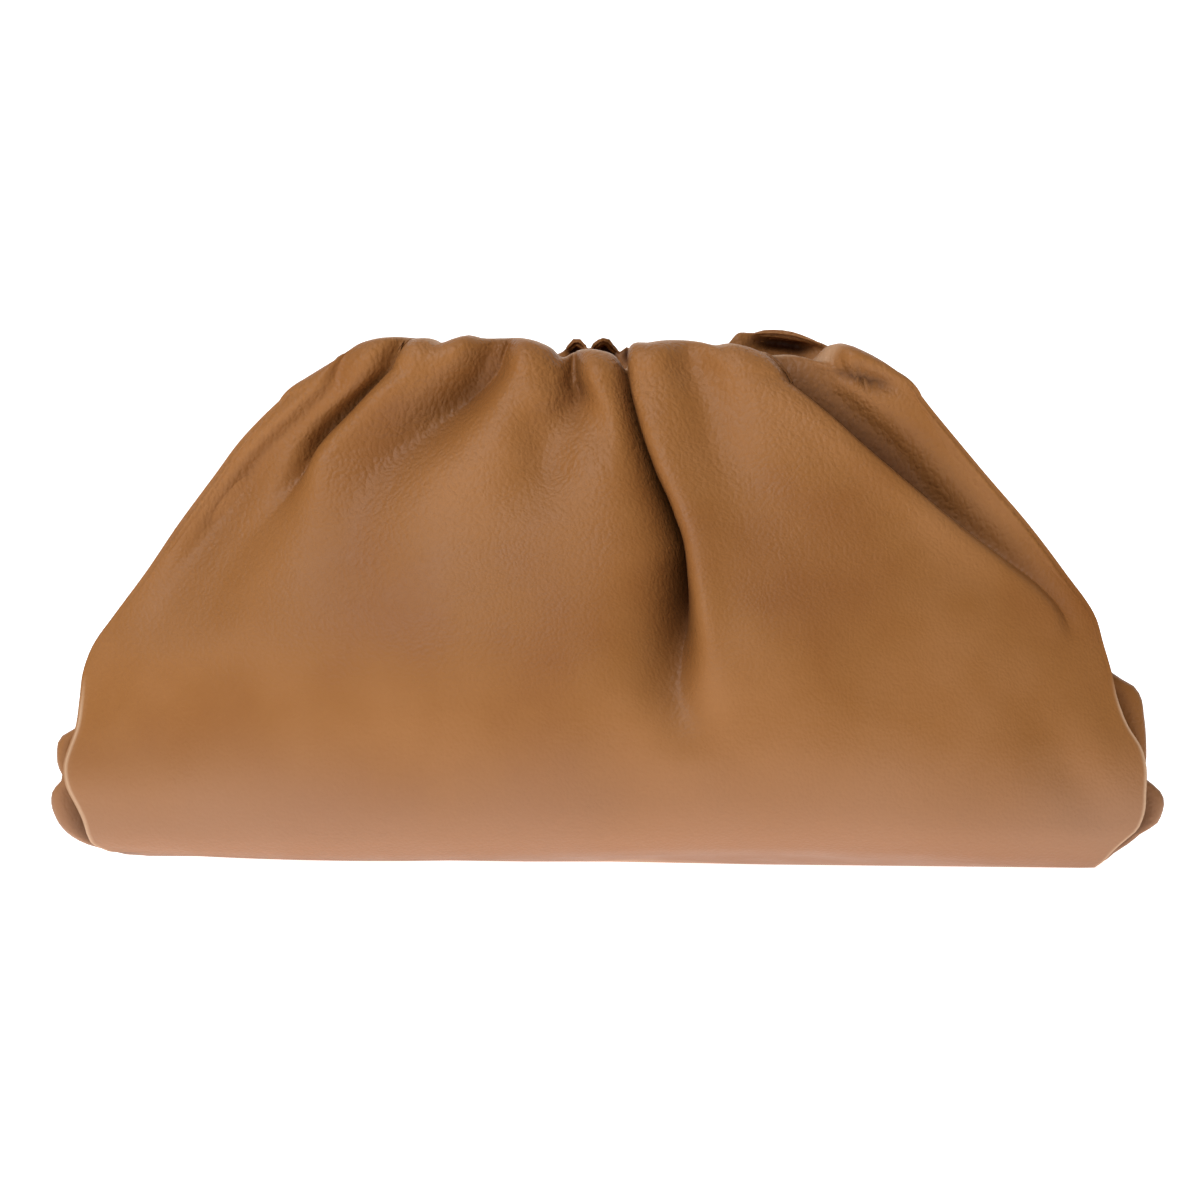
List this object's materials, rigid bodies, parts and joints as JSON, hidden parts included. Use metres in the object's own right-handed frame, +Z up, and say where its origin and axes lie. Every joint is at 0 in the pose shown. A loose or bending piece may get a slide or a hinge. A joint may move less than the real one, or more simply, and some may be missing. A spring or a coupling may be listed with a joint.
{
  "type": "gathered leather clutch bag",
  "caption": "Soft leather pouch clutch with a full rounded belly, folded-in ends and a gathered mouth rolled over a slim hidden closure frame.",
  "frame": {"origin": "on the ground under the middle of the bag", "axes": "+Z up through the mouth, -Y out of the front, +X to the right of someone facing the front"},
  "size_m": [0.3786, 0.1486, 0.1816],
  "materials": {
    "leather": "smooth fine-grained calf leather in tan brown, satin",
    "frame_steel": "plain steel flat bar, hidden in the lip"
  },
  "bodies": {
    "root": {"leather_body": "leather", "closure_frame": "frame_steel"}
  },
  "joints": []
}
